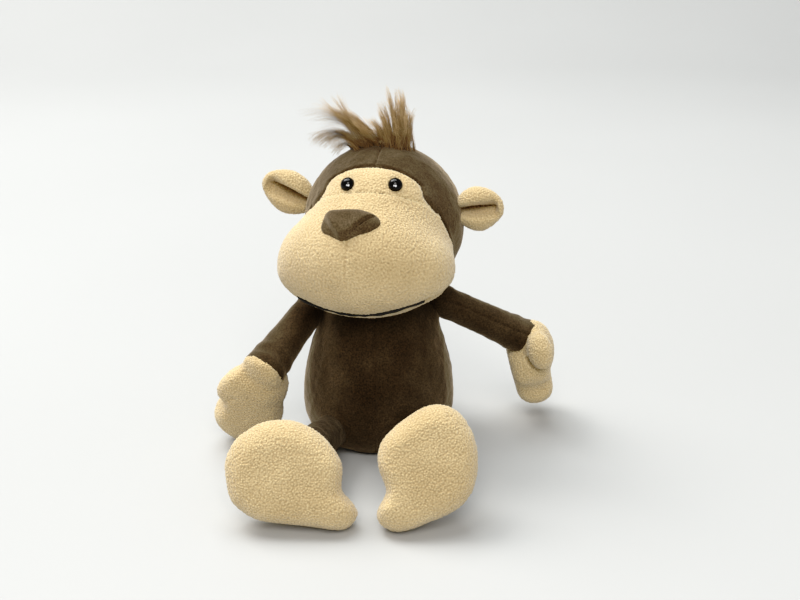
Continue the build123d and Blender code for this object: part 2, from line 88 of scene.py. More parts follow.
# Seams that draw the head's skin in: depth and half width.
FACE_SEAM = (1.5 * MM, 0.8 * MM)
BROW_SEAM = (0.5 * MM, 0.9 * MM)
MOUTH_SEAM = (1.5 * MM, 1.3 * MM)
NOSE_SEAM = (0.35 * MM, 1.0 * MM)
CROWN_SEAM = (1.0 * MM, 1.0 * MM)
EYE_DENT = (1.3 * MM, 4.6 * MM)
NOSE_SEAM_END = -20 * MM  # the seam under the nose stops at this height
SEAM_ALLOWANCE = 2.2 * MM  # cut edges are turned in by this much
EYE_HALF_SPACING = 15.4 * MM
EYE_HEIGHT = {"left": 36.4 * MM, "right": 35.3 * MM}
EYE_RADIUS = 4.7 * MM
EYE_DOME = 0.92  # the eye's dome is a little flatter than a half ball
MOUTH_HEIGHT = -43.5 * MM  # lowest point of the mouth seam
MOUTH_SIDE = -8 * MM
MOUTH_RISE = 12.5 * MM  # the seam's ends are this much higher
MOUTH_REACH = 50 * MM
MOUTH_ENDS = (-59, 60)  # the cord's ends, as degrees round the muzzle from straight ahead
NOSE_LIFT = 17 * MM
NOSE_SIDE = -7 * MM
NOSE_ROLL = radians(-3)
# Nose outline in mm, across and up from its middle, and its folds: start, end, drop beyond the fold,
# width of that step and depth of the crease along it.
NOSE_OUTLINE = [(-19, 1), (-17.5, 8), (-11, 9.5), (3, 12), (10, 11), (17, 8.5), (19.5, 3), (15, -3.5)]
NOSE_OUTLINE += [(6, -8), (-3, -12.5), (-10, -9), (-18.5, -5.5)]
NOSE_FOLDS = [((-2, -12), (-18, 6), 4.2, 3.0, 0.0), ((15, 9), (-1, -10), 2.2, 2.2, 2.6)]
NOSE_THICKNESS = 9.5 * MM
EAR_LENGTH = {"left": 31 * MM, "right": 37 * MM}
EAR_HALF_HEIGHT = 14.5 * MM
EAR_HALF_DEPTH = 7.5 * MM
EAR_BACK_DEPTH = 9 * MM
EAR_SLIT = 12 * MM  # how deep the slit between the ear's two rolls goes
EAR_SLIT_WIDTH = (0.17, 0.36)  # at the root and the tip, as shares of the ear's half height
EAR_CREASE = (0.22, 0.07)  # a finer crease along the slit: share of its depth, and width
EAR_TILT = {"left": radians(11), "right": radians(25)}  # the ears point up and out
# Painted glint spots that glow on the eyes though no lamp stands there: the direction that the mirrored ray
# must point towards, and how closely it must point there.
EYE_PAINTED_GLINTS = [((0.14, -0.95, 0.14), 0.950), ((-0.30, -0.95, 0.20), 0.968)]
HAIR_STRANDS = 4300
HAIR_LOCK = 15  # strands that stay together in one lock
HAIR_THICKNESS = (0.10 * MM, 0.21 * MM)
# How far things scatter, in mm: a lock's root in its clump, a strand's root, bend and tip in its lock.
LOCK_SCATTER = 2.6
ROOT_SCATTER = 0.9
BEND_SCATTER = 0.8
TIP_SCATTER = 0.6

# ---- torso ----
SEAT_EDGE = 4 * MM  # the belly's seams stop at this height
BELLY_SEAM_SIDE = 1.5 * MM  # the belly's middle seam runs this far to the monkey's right

# ---- limbs ----
# Sleeve radii at the body, halfway and at the cuff.
ARM_RADII = {"right": (11.5 * MM, 12 * MM, 15.3 * MM), "left": (11.5 * MM, 11.5 * MM, 13.5 * MM)}
LEG_RADII = (12 * MM, 13 * MM, 14 * MM)
LEG_SUNK = np.array((0.0, 4.0, -1.0)) * MM  # the leg's root sits this far back and down in the body
# Creases across a sleeve, near its cuff and near its root: strength, waves, place and reach as shares of
# the length, and how they wander round the sleeve: strength, turns, start.
CREASES = [(1.0, 34, 0.86, 0.12, (1.4, 2, 1)), (0.8, 26, 0.15, 0.14, (1.0, 3, 0))]
CREASE_HEIGHT = {"arm": 0.45 * MM, "leg": 0.15 * MM}
CUFF_DOME = 0.3  # a sleeve's end is this share of a half ball
# Each hand's thumb and heel in mm: centre from the wrist and half sizes, both given along the thumb side,
# out of the palm and to the fingertips. A thumb also has its lean and the depth of the fold round it.
THUMBS = {
    "right": ((17.5, 4, 18), (8, 8, 15), 0.3, 0.9),
    "left": ((18.5, 11, 0), (8, 9.2, 13.5), 0.74, 3.6),
}
HEELS = {
    "right": ((-4, 0, 17), (16.5, 14, 22)),
    "left": ((1, 8, 15), (16, 14.5, 25)),
}
HAND_LENGTH = 40 * MM
HAND_SHARE = {"right": 1.0, "left": 0.83}  # stuffing draws the mitten in to this share of its length
# How far the fingertips are drawn towards the thumb and out of the palm, in mm.
HAND_SHIFT = {"right": (-3.0, 0.0), "left": (2.0, 3.5)}
CUFF_HALF = {"right": 15.6, "left": 13.4}  # radius of the ring where a hand meets its sleeve
CUFF_REACH = {"right": 1.0, "left": 4.0}  # mm that a sleeve runs past the wrist's pivot
CUFF_SLANT = {"right": 0.0, "left": 0.35}  # how obliquely a sleeve is cut, its top the longer side

sides = {"left": 1, "right": -1}
joints = {joint["name"]: joint for joint in frame["joints"]}


def pivot(name):
    """Where a joint of the record sits."""
    return np.array(joints[name]["pos_m"])


def unit(vector):
    """The same direction, with length one."""
    return vector / np.linalg.norm(vector)


# ==== mesh tools ====


def placed(name, content):
    """A new object that holds a mesh, a light or a camera."""
    holder = bpy.data.objects.new(name, content)
    bpy.context.scene.collection.objects.link(holder)
    return holder


def mesh_object(name, points, faces):
    """A new object from points and faces, shaded smooth."""
    mesh = bpy.data.meshes.new(name)
    mesh.from_pydata([tuple(p) for p in points], [], [tuple(f) for f in faces])
    mesh.update()
    mesh.shade_smooth()
    return placed(name, mesh)


def skin_object(name, skin):
    """A new object from an edited mesh, which is used up."""
    mesh = bpy.data.meshes.new(name)
    skin.to_mesh(mesh)
    skin.free()
    return placed(name, mesh)


def points_of(piece):
    """All vertex positions as an array."""
    flat = np.empty(3 * len(piece.data.vertices))
    piece.data.vertices.foreach_get("co", flat)
    return flat.reshape(-1, 3)


def normals_of(piece):
    """All vertex normals as an array."""
    flat = np.empty(3 * len(piece.data.vertices))
    piece.data.vertex_normals.foreach_get("vector", flat)
    return flat.reshape(-1, 3)


def move_points(piece, points):
    """Put the vertices at these positions."""
    piece.data.vertices.foreach_set("co", points.ravel())
    piece.data.update()


def bake(piece):
    """Make the object's mesh what its modifiers show."""
    view = bpy.context.evaluated_depsgraph_get()
    shaped = bpy.data.meshes.new_from_object(piece.evaluated_get(view))
    plain = piece.data
    piece.modifiers.clear()
    piece.data = shaped
    piece.data.name = piece.name
    bpy.data.meshes.remove(plain)
    piece.data.shade_smooth()


def joined(name, nodes):
    """One object with the meshes of several CAD nodes."""
    gathered = bmesh.new()
    for node in nodes:
        source = frame["nodes"][node]
        copy = source.data.copy()
        copy.transform(source.matrix_world)
        gathered.from_mesh(copy)
        bpy.data.meshes.remove(copy)
    return skin_object(name, gathered)


def merged(piece, *others):
    """Add the meshes of other objects to a piece."""
    gathered = bmesh.new()
    for source in (piece, *others):
        gathered.from_mesh(source.data)
    gathered.to_mesh(piece.data)
    gathered.free()
    for source in others:
        bpy.data.objects.remove(source)
    return piece


def remesh(piece, size, smoothing=2):
    """Wrap a piece in one closed, even skin."""
    wrap = piece.modifiers.new("wrap", "REMESH")
    wrap.mode = "VOXEL"
    wrap.voxel_size = size
    soften = piece.modifiers.new("soften", "SMOOTH")
    soften.factor = 0.5
    soften.iterations = smoothing
    bake(piece)


def puff(piece, held):
    """Let the stuffing push the cloth out. held says for each point how firmly a seam holds it, 0 to 1."""
    flat = points_of(piece)
    seams = piece.vertex_groups.new(name="seams")
    for index, share in enumerate(held(flat)):
        if share > 0.02:
            seams.add([index], float(share), "REPLACE")
    cloth = piece.modifiers.new("cloth", "CLOTH")
    cloth.settings.use_pressure = True
    cloth.settings.uniform_pressure_force = PRESSURE
    cloth.settings.vertex_group_mass = "seams"
    cloth.settings.effector_weights.gravity = 0
    cloth.settings.quality = 5
    cloth.point_cache.frame_end = PUFF_FRAMES
    for step in range(1, PUFF_FRAMES + 1):
        bpy.context.scene.frame_set(step)
    bake(piece)
    bpy.context.scene.frame_set(1)
    piece.vertex_groups.clear()
    step = points_of(piece) - flat
    length = np.linalg.norm(step, axis=1, keepdims=True)
    step *= np.minimum(1, PUFF_LIMIT / np.maximum(length, 1e-9))
    move_points(piece, flat + step)


def seal(piece):
    """Weld the points that meet at a piece's poles and turn its faces outwards."""
    weld = piece.modifiers.new("weld", "WELD")
    weld.merge_threshold = 0.02 * MM
    bake(piece)
    skin = bmesh.new()
    skin.from_mesh(piece.data)
    bmesh.ops.recalc_face_normals(skin, faces=skin.faces)
    skin.to_mesh(piece.data)
    skin.free()
    piece.data.shade_smooth()


def refine(piece, levels):
    """Smooth subdivision."""
    fine = piece.modifiers.new("fine", "SUBSURF")
    fine.levels = levels
    fine.render_levels = levels
    bake(piece)


def dip(distance, seam, power=2):
    """How deep a seam, given as (depth, half width), draws the surface in at a distance from it."""
    depth, width = seam
    return depth * np.exp(-(np.abs(distance / width) ** power))


def groove(piece, distance, depth, width):
    """Draw the surface in along a seam. distance says how far each point is from it."""
    points = points_of(piece)
    move_points(piece, points - normals_of(piece) * dip(distance(points), (depth, width))[:, None])


def texture_push(piece, kind, size, strength, middle=0.5):
    """Push the surface in and out by a procedural texture, at the size given."""
    pattern = bpy.data.textures.new(f"{kind.lower()}_{size / MM:.1f}", kind)
    pattern.noise_scale = size
    push = piece.modifiers.new("push", "DISPLACE")
    push.texture = pattern
    push.texture_coords = "LOCAL"
    push.strength = strength
    push.mid_level = middle
    return pattern


def curl(piece, height=CURL_HEIGHT):
    """Curly fleece: rounded tufts with dark gaps between them, and finer curls on each."""
    lumps = texture_push(piece, "CLOUDS", 14 * MM, 0.9 * MM)
    lumps.noise_depth = 1
    texture_push(piece, "VORONOI", CURL, -1.3 * height, 0.45)
    texture_push(piece, "CLOUDS", 1.1 * MM, 0.55 * height)
    bake(piece)


def nap(piece, lump=0.8 * MM):
    """Velour: soft uneven filling under a fine pile."""
    texture_push(piece, "CLOUDS", VELOUR_LUMP * 2, lump * 1.6)
    texture_push(piece, "CLOUDS", VELOUR_LUMP / 2, lump * 0.45)
    texture_push(piece, "CLOUDS", 0.9 * MM, 0.1 * MM)
    bake(piece)


def ring_faces(rings, segments):
    """Four-sided faces between neighbouring rings of points."""
    faces = []
    for ring in range(rings - 1):
        for k in range(segments):
            low = ring * segments
            high = low + segments
            following = (k + 1) % segments
            faces.append((low + k, low + following, high + following, high + k))
    return faces


def capped_rings(rings, segments):
    """Faces of a closed tube: its rings and both ends."""
    last = (rings - 1) * segments
    ends = [tuple(reversed(range(segments))), tuple(last + k for k in range(segments))]
    return ring_faces(rings, segments) + ends


def lathe(name, profile, origin, across, axis, segments=64):
    """A turned shape. profile lists (radius, height) pairs from one end of the axis to the other."""
    axis = unit(np.array(axis))
    across = unit(np.array(across) - axis * np.dot(across, axis))
    third = np.cross(axis, across)
    points = []
    for radius, height in profile:
        for k in range(segments):
            turn = 2 * pi * k / segments
            points.append(origin + axis * height + (across * cos(turn) + third * sin(turn)) * radius)
    return mesh_object(name, points, capped_rings(len(profile), segments))


def swept_tube(name, path, radius, segments=10):
    """A round tube along a list of points."""
    path = np.array(path)
    points = []
    side = np.array((0.0, 0.0, 1.0))
    for k, centre in enumerate(path):
        run = unit(path[min(k + 1, len(path) - 1)] - path[max(k - 1, 0)])
        side = unit(side - run * np.dot(side, run))
        other = np.cross(run, side)
        for j in range(segments):
            turn = 2 * pi * j / segments
            points.append(centre + (side * cos(turn) + other * sin(turn)) * radius)
    return mesh_object(name, points, capped_rings(len(path), segments))


# ==== materials ====

WHITE = (1.0, 1.0, 1.0)
BLACK = (0.0, 0.0, 0.0)
# From the pile brushed away to the pile brushed towards the light.
VELOUR_BROWNS = [
    (0.34, (0.037, 0.0245, 0.0130)),
    (0.52, (0.051, 0.036, 0.0205)),
    (0.68, (0.066, 0.048, 0.029)),
]


def shader(name):
    """A new material and the parts of it that the recipes below use."""
    material = bpy.data.materials.new(name)
    material.use_nodes = True
    tree = material.node_tree
    surface = tree.nodes["Principled BSDF"]
    place = tree.nodes.new("ShaderNodeTexCoord").outputs["Object"]
    return material, tree, surface, place


def settings(surface, values):
    """Set several inputs of a surface."""
    for name, value in values.items():
        surface.inputs[name].default_value = value


def noise(tree, place, size, detail=3.0):
    """Cloudy variation with patches of this size; its factor runs from 0 to 1."""
    cloud = tree.nodes.new("ShaderNodeTexNoise")
    cloud.inputs["Scale"].default_value = 1 / size
    cloud.inputs["Detail"].default_value = detail
    tree.links.new(place, cloud.inputs["Vector"])
    return cloud.outputs["Fac"]


def cells(tree, place, size):
    """Rounded cells of this size."""
    cell = tree.nodes.new("ShaderNodeTexVoronoi")
    cell.inputs["Scale"].default_value = 1 / size
    tree.links.new(place, cell.inputs["Vector"])
    return cell.outputs["Distance"]


def ramp(tree, factor, *stops):
    """Colours along a factor; each stop is (position, colour)."""
    band = tree.nodes.new("ShaderNodeValToRGB")
    marks = band.color_ramp.elements
    while len(marks) < len(stops):
        marks.new(0.5)
    for mark, (position, colour) in zip(marks, stops):
        mark.position = position
        mark.color = (*colour, 1)
    tree.links.new(factor, band.inputs["Fac"])
    return band.outputs["Color"]


def mottle(tree, place, size, *stops):
    """Colours in cloudy patches of this size."""
    return ramp(tree, noise(tree, place, size), *stops)


def combined(tree, mode, first, second):
    """Two colours multiplied or added."""
    mix = tree.nodes.new("ShaderNodeMix")
    mix.data_type = "RGBA"
    mix.blend_type = mode
    mix.inputs["Factor"].default_value = 1.0
    tree.links.new(first, mix.inputs["A"])
    tree.links.new(second, mix.inputs["B"])
    return mix.outputs["Result"]


def bump(tree, surface, height, distance, strength=1.0, under=None):
    """Small relief from a height."""
    relief = tree.nodes.new("ShaderNodeBump")
    relief.inputs["Strength"].default_value = strength
    relief.inputs["Distance"].default_value = distance
    tree.links.new(height, relief.inputs["Height"])
    if under is not None:
        tree.links.new(under, relief.inputs["Normal"])
    tree.links.new(relief.outputs["Normal"], surface.inputs["Normal"])
    return relief.outputs["Normal"]


def fleece_material():
    """Warm beige curly fleece with slightly uneven dye, painted dark brown shade in the gaps between curls
    and paler painted light on their tips, both from the mesh's pointiness.
    """
    material, tree, surface, place = shader("beige_fleece")
    point = tree.nodes.new("ShaderNodeNewGeometry").outputs["Pointiness"]
    # Painted shade and light: where pointiness is low, in the gaps, the colour is dark brown; where it is
    # high, on the curl tips, pale.
    gap = (0.42, (0.29, 0.185, 0.072))
    curl_side = (0.487, (0.61, 0.455, 0.23))
    painted_lit_tip = (0.56, (0.85, 0.72, 0.41))
    curls = ramp(tree, point, gap, curl_side, painted_lit_tip)
    dye = mottle(tree, place, 30 * MM, (0.35, (0.88, 0.85, 0.80)), (0.65, WHITE))
    fibre = mottle(tree, place, 0.9 * MM, (0.3, (0.78, 0.74, 0.68)), (0.7, WHITE))
    dyed = combined(tree, "MULTIPLY", curls, dye)
    tree.links.new(combined(tree, "MULTIPLY", dyed, fibre), surface.inputs["Base Color"])
    look = {
        "Roughness": 0.95,
        "Specular IOR Level": 0.15,
        "Sheen Weight": 0.5,
        "Sheen Roughness": 0.6,
        "Sheen Tint": (1.0, 0.96, 0.88, 1),
    }
    settings(surface, look)
    coarse = bump(tree, surface, cells(tree, place, 1.3 * MM), 0.5 * MM, 0.6)
    bump(tree, surface, noise(tree, place, 0.45 * MM), 0.25 * MM, 0.8, under=coarse)
    return material


def velour_material(name, painted_light_factor):
    """Dark brown short pile: brushed patches, fine fibre grain and a pale sheen at grazing angles. The
    factor scales the colour, and below one the sheen too, to make lighter copies with painted light and
    darker copies with painted shade.
    """
    material, tree, surface, place = shader(name)
    stops = [(at, tuple(painted_light_factor * part for part in colour)) for at, colour in VELOUR_BROWNS]
    brushed = ramp(tree, noise(tree, place, 22 * MM, 5.0), *stops)
    grain = mottle(tree, place, 1.1 * MM, (0.3, (0.55, 0.54, 0.52)), (0.7, (1.4, 1.38, 1.34)))
    tree.links.new(combined(tree, "MULTIPLY", brushed, grain), surface.inputs["Base Color"])
    look = {
        "Roughness": 0.9,
        "Specular IOR Level": 0.1,
        "Sheen Weight": 0.6 * min(1.0, painted_light_factor),
        "Sheen Roughness": 0.45,
        "Sheen Tint": (0.72, 0.58, 0.40, 1),
    }
    settings(surface, look)
    coarse = bump(tree, surface, noise(tree, place, 2.2 * MM, 4.0), 0.35 * MM, 0.5)
    bump(tree, surface, noise(tree, place, 0.5 * MM), 0.2 * MM, 0.7, under=coarse)
    return material


def hair_material():
    """Light brown fibres, each strand a little different, darker at the root."""
    material, tree, surface, place = shader("hair")
    strand = tree.nodes.new("ShaderNodeAttribute")
    strand.attribute_name = "tone"
    root = (0.08, (0.060, 0.034, 0.013))
    length = (0.36, (0.33, 0.195, 0.076))
    tip = (0.85, (0.70, 0.50, 0.25))
    colour = ramp(tree, strand.outputs["Fac"], root, length, tip)
    dye = mottle(tree, place, 4 * MM, (0.3, (0.8, 0.78, 0.75)), (0.7, WHITE))
    tree.links.new(combined(tree, "MULTIPLY", colour, dye), surface.inputs["Base Color"])
    settings(surface, {"Roughness": 0.55, "Specular IOR Level": 0.35, "Sheen Weight": 0.2})
    return material


def eye_material():
    """Polished black plastic with hairline wear in its roughness, and two painted highlights: glint spots
    that glow where its mirrored ray points, with no lamp there.
    """
    material, tree, surface, place = shader("eye")
    scratches = noise(tree, place, 1.2 * MM, 6.0)
    wear = ramp(tree, scratches, (0.45, (0.03, 0.03, 0.03)), (0.7, (0.12, 0.12, 0.12)))
    surface.inputs["Base Color"].default_value = (0.004, 0.0035, 0.003, 1)
    tree.links.new(wear, surface.inputs["Roughness"])
    surface.inputs["Specular IOR Level"].default_value = 0.25
    mirrored = tree.nodes.new("ShaderNodeTexCoord").outputs["Reflection"]
    painted_glints = []
    for towards, nearness in EYE_PAINTED_GLINTS:
        match = tree.nodes.new("ShaderNodeVectorMath")
        match.operation = "DOT_PRODUCT"
        tree.links.new(mirrored, match.inputs[0])
        match.inputs[1].default_value = Vector(towards).normalized()
        painted_glints.append(ramp(tree, match.outputs["Value"], (nearness, BLACK), (nearness + 0.03, WHITE)))
    # Painted highlights: the glint spots are emission, not the reflection of any lamp in the studio.
    tree.links.new(combined(tree, "ADD", *painted_glints), surface.inputs["Emission Color"])
    surface.inputs["Emission Strength"].default_value = 0.9
    return material


def thread_material(name, dark, light):
    """Twisted thread."""
    material, tree, surface, place = shader(name)
    twist = mottle(tree, place, 0.6 * MM, (0.35, dark), (0.65, light))
    tree.links.new(twist, surface.inputs["Base Color"])
    surface.inputs["Roughness"].default_value = 0.8
    bump(tree, surface, noise(tree, place, 0.4 * MM), 0.15 * MM, 0.7)
    return material


def filling_material(name, pale, size):
    """White loose fibre, thin cloth or pellets inside."""
    material, tree, surface, place = shader(name)
    shade = tuple(0.82 * part for part in pale)
    tree.links.new(mottle(tree, place, size, (0.3, shade), (0.7, pale)), surface.inputs["Base Color"])
    surface.inputs["Roughness"].default_value = 0.95
    bump(tree, surface, noise(tree, place, size / 3), size / 4, 0.8)
    return material


fleece = fleece_material()
velour = velour_material("brown_velour", 1.0)
# Darker copy of the brown velour for the legs: painted shade.
leg_velour_painted_shade = velour_material("leg_velour_painted_shade", 0.45)
# Lighter copy of the brown velour for the hood: painted light.
hood_velour_painted_light = velour_material("hood_velour_painted_light", 1.35)
# Lighter copy of the brown velour for the nose: painted light.
nose_velour_painted_light = velour_material("nose_velour_painted_light", 1.7)
hair = hair_material()
eye_black = eye_material()
mouth_black = thread_material("mouth_cord", (0.004, 0.004, 0.004), (0.03, 0.027, 0.024))
seam_brown = thread_material("seam_thread", (0.03, 0.02, 0.012), (0.09, 0.065, 0.04))
filling = filling_material("filling", (0.9, 0.9, 0.88), 3 * MM)
pouch_cloth = filling_material("pouch_cloth", (0.8, 0.8, 0.76), 1 * MM)
pellets = filling_material("pellets", (0.8, 0.8, 0.8), 2.5 * MM)
washer_white = filling_material("washer", (0.85, 0.85, 0.83), 4 * MM)


def dress(piece, material, body, *nodes):
    """Give a finished piece its material and the CAD body it rides on, and hide the CAD nodes it stands
    for.
    """
    piece.data.materials.clear()
    piece.data.materials.append(material)
    if nodes:
        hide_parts(*nodes)
    if body:
        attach(piece, body)
    return piece


# ==== head ====

across = np.array(joints["head_nod"]["axis"])
up = np.array((0.0, 0.0, 1.0))
front = np.cross(across, up)
head_centre = (pivot("ear_left_fold") + pivot("ear_right_fold")) / 2 - up * EAR_LIFT


def on_head(a, f, u):
    """A point from its distances across, in front of and above the hood's centre."""
    return head_centre + across * a + front * f + up * u


def in_head(points):
    """Distances across, in front of and above the hood's centre, for many points."""
    away = points - head_centre
    return away @ across, away @ front, away @ up


def smooth_union(first, second, softness):
    """Distance to two forms that run softly into each other."""
    share = np.clip(0.5 + 0.5 * (second - first) / softness, 0, 1)
    return second * (1 - share) + first * share - softness * share * (1 - share)


def egg_distance(a, f, u):
    """Distance to the muzzle: a wide crown arc between two rounder end arcs, turned."""
    reach = MUZZLE_HALF_WIDTH - MUZZLE_END_RADIUS
    rise = MUZZLE_HALF_DEPTH - MUZZLE_END_RADIUS
    crown_drop = (reach**2 - rise**2) / (2 * rise)
    crown_radius = MUZZLE_HALF_DEPTH + crown_drop
    wide = np.abs(a - MUZZLE_SIDE)
    end = np.clip((a - MUZZLE_SIDE) / MUZZLE_HALF_WIDTH, -1, 1)
    sag = np.where(end < 0, MUZZLE_SAG[0], MUZZLE_SAG[1]) * end**2
    slimming = 1 + MUZZLE_NARROW * np.maximum(end, 0) ** 2
    away = np.hypot(f - MUZZLE_FORWARD, (u + MUZZLE_DROP + sag) * slimming)
    crown = np.hypot(wide, away + crown_drop) - crown_radius
    cap = np.hypot(wide - reach, away) - MUZZLE_END_RADIUS
    return np.where(wide * crown_drop < reach * (away + crown_drop), crown, cap)


def head_distance(a, f, u):
    """Distance to the whole head: hood ball and muzzle egg."""
    hood = np.sqrt(a**2 + f**2 + u**2) - HOOD_RADIUS
    return smooth_union(hood, egg_distance(a, f, u), MUZZLE_BLEND)


def reach_skin(place, count):
    """How far along some rays the head's skin lies. place turns distances into across, ahead and up."""
    near = np.zeros(count)
    far = np.full(count, 130 * MM)
    for _ in range(26):
        middle = (near + far) / 2
        outside = head_distance(*place(middle)) > 0
        far = np.where(outside, middle, far)
        near = np.where(outside, near, middle)
    return near


def face_outline():
    """Half of the face patch's edge as (across, up), from the middle of the brow to beyond the cheek."""
    wide, high = BROW_CORNER
    power = 2 / BROW_SQUARENESS
    turns = [k * pi / 24 for k in range(12)]
    brow = [(wide * sin(t) ** power, high + (BROW_TOP - high) * cos(t) ** power) for t in turns]
    return brow + CHEEK + [(2 * MUZZLE_HALF_WIDTH, 12 * MM)]


outline = face_outline()


def face_inside(a, f, u):
    """How far inside the face patch's edge each point lies; negative on the hood."""
    wide = np.abs(a)
    nearest = np.full(len(a), 1.0)
    for (x0, y0), (x1, y1) in zip(outline[:-1], outline[1:]):
        run = hypot(x1 - x0, y1 - y0)
        share = np.clip(((wide - x0) * (x1 - x0) + (u - y0) * (y1 - y0)) / run**2, 0, 1)
        nearest = np.minimum(nearest, np.hypot(wide - x0 - share * (x1 - x0), u - y0 - share * (y1 - y0)))
    edge = np.interp(wide, [x for x, _ in outline], [y for _, y in outline])
    inside = np.where(u < edge, nearest, -nearest)
    side_seam = np.interp(u, [height for height, _ in SIDE_SEAM], [ahead for _, ahead in SIDE_SEAM])
    return np.minimum(inside, f - side_seam)


def brow_seam(a, u):
    """Height above the arched seam that runs just under the eyes."""
    return u - (32.5 * MM - 7.5 * a**2)


def mouth_seam(a):
    """Height of the mouth seam, which rises to both sides like a smile."""
    return MOUTH_HEIGHT + MOUTH_RISE * (np.abs(a - MOUTH_SIDE) / MOUTH_REACH) ** 1.6


def make_head():
    """Hood, face and chin as one swelling skin, cut along its seams."""
    heart = on_head(0, 20 * MM, -6 * MM)
    sphere = bmesh.new()
    bmesh.ops.create_icosphere(sphere, subdivisions=8, radius=1)
    sphere.verts.index_update()
    directions = np.array([corner.co for corner in sphere.verts])
    directions /= np.linalg.norm(directions, axis=1, keepdims=True)
    faces = np.array([[corner.index for corner in face.verts] for face in sphere.faces])
    sphere.free()
    reach = reach_skin(lambda steps: in_head(heart + directions * steps[:, None]), len(directions))
    points = heart + directions * reach[:, None]

    a, f, u = in_head(points)
    edge = face_inside(a, f, u)
    normal = surface_normals(points, faces)
    push = -dip(edge, FACE_SEAM)
    push += FACE_PILE[0] - dip(np.maximum(edge, 0), FACE_PILE)
    push += HOOD_PILE[0] - dip(np.minimum(edge, 0), HOOD_PILE)
    is_front = (edge > 0) & (f > 0)
    under_nose = is_front & (u < NOSE_LIFT) & (u > NOSE_SEAM_END)
    push -= is_front * dip(brow_seam(a, u), BROW_SEAM)
    push -= is_front * dip(u - mouth_seam(a), MOUTH_SEAM)
    push -= under_nose * dip(a - NOSE_SIDE, NOSE_SEAM)
    push -= (edge <= 0) * dip(a, CROWN_SEAM)
    for side, sign in sides.items():
        from_eye = np.hypot(a - sign * EYE_HALF_SPACING, u - EYE_HEIGHT[side])
        push -= (f > 0) * dip(from_eye, EYE_DENT, 4)
    points = points + normal * push[:, None]

    face_share = edge[faces].mean(axis=1)
    height = (u - mouth_seam(a))[faces].mean(axis=1)
    forehead = brow_seam(a, u)[faces].mean(axis=1)
    cuts = {
        "hood_cover": face_share <= 0,
        "forehead_cover": (face_share > 0) & (forehead > 0),
        "muzzle_cover": (face_share > 0) & (forehead <= 0) & (height > 0),
        "chin_cover": (face_share > 0) & (height <= 0),
    }
    covers = {}
    for name, chosen in cuts.items():
        used, local = np.unique(faces[chosen], return_inverse=True)
        covers[name] = mesh_object(name, points[used], local.reshape(-1, 3))
        fold_rim(covers[name])
    return covers


def surface_normals(points, faces):
    """Area-weighted normals at the points of a triangle mesh."""
    corner = points[faces]
    flat = np.cross(corner[:, 1] - corner[:, 0], corner[:, 2] - corner[:, 0])
    total = np.zeros_like(points)
    for k in range(3):
        np.add.at(total, faces[:, k], flat)
    return total / np.linalg.norm(total, axis=1, keepdims=True)


def fold_rim(piece):
    """Turn a cover's cut edge inwards, like a seam allowance."""
    sheet = bmesh.new()
    sheet.from_mesh(piece.data)
    rim = [edge for edge in sheet.edges if edge.is_boundary]
    middle = Vector(head_centre)
    turned = bmesh.ops.extrude_edge_only(sheet, edges=rim)["geom"]
    for corner in turned:
        if isinstance(corner, bmesh.types.BMVert):
            corner.co += (middle - corner.co).normalized() * SEAM_ALLOWANCE
    sheet.to_mesh(piece.data)
    sheet.free()
    piece.data.shade_smooth()


covers = make_head()
curl(covers["forehead_cover"])
curl(covers["muzzle_cover"])
curl(covers["chin_cover"])
nap(covers["hood_cover"])
# The hood wears the lighter velour copy, which is painted light.
dress(covers["hood_cover"], hood_velour_painted_light, "head", "hood_left", "hood_right", "head_stuffing")
dress(covers["forehead_cover"], fleece, "head", "forehead_panel")
dress(covers["muzzle_cover"], fleece, "head", "muzzle_panel")
dress(covers["chin_cover"], fleece, "head", "chin_panel")


def make_eye(side, sign):
    """A polished dome sunk a little in the fleece, with a rounded rim."""
    a = sign * EYE_HALF_SPACING
    f = sqrt(HOOD_RADIUS**2 - a**2 - EYE_HEIGHT[side] ** 2)
    centre = on_head(a, f, EYE_HEIGHT[side])
    out = centre - head_centre
    steps = 18
    turns = [pi / 2 * k / steps for k in range(steps)]
    dome = [(EYE_RADIUS * cos(turn), EYE_RADIUS * EYE_DOME * sin(turn)) for turn in turns]
    rim = [(EYE_RADIUS * 0.5, -2.6 * MM), (EYE_RADIUS * 0.93, -2.0 * MM), (EYE_RADIUS, -1.2 * MM)]
    profile = rim + dome + [(0.05 * MM, EYE_RADIUS * EYE_DOME)]
    eye = lathe(f"eye_dome_{side}", profile, centre, across, out)
    return dress(eye, eye_black, "head", f"eye_{side}")


def muzzle_front(a, u):
    """Point on the muzzle's front at this place."""
    ahead = reach_skin(lambda steps: (np.full(1, a), steps, np.full(1, u)), 1)
    return on_head(a, ahead[0], u)


def mouth_path():
    """The mouth line along the muzzle's underside, a little wavy and sunk into the fleece in the middle."""
    turns = np.radians(np.linspace(MOUTH_ENDS[0], MOUTH_ENDS[1], 241))

    def place(reach):
        a = MUZZLE_SIDE + reach * np.sin(turns)
        return a, MUZZLE_FORWARD - 8 * MM + reach * np.cos(turns), mouth_seam(a)

    sunk = dip(turns + 0.10, (1.0 * MM, 0.12))
    a, f, u = place(reach_skin(place, len(turns)) + 0.5 * MM - sunk)
    wave = 0.25 * MM * np.sin(9 * turns) + 0.2 * MM * np.sin(23 * turns + 1)
    return [on_head(*spot) for spot in zip(a, f, u + wave)]


def make_mouth():
    """Black cord of two strands twisted together."""
    path = np.array(mouth_path())
    strands = []
    for phase in (0, pi):
        twisted = []
        for k, centre in enumerate(path):
            run = unit(path[min(k + 1, len(path) - 1)] - path[max(k - 1, 0)])
            side = np.cross(run, up)
            turn = 1.1 * k + phase
            twisted.append(centre + (side * cos(turn) + up * sin(turn)) * 0.5 * MM)
        strands.append(swept_tube("mouth_strand", twisted, 0.95 * MM))
    cord = merged(strands[0], strands[1])
    cord.name = "mouth_line"
    return dress(cord, mouth_black, "head", "mouth_cord")


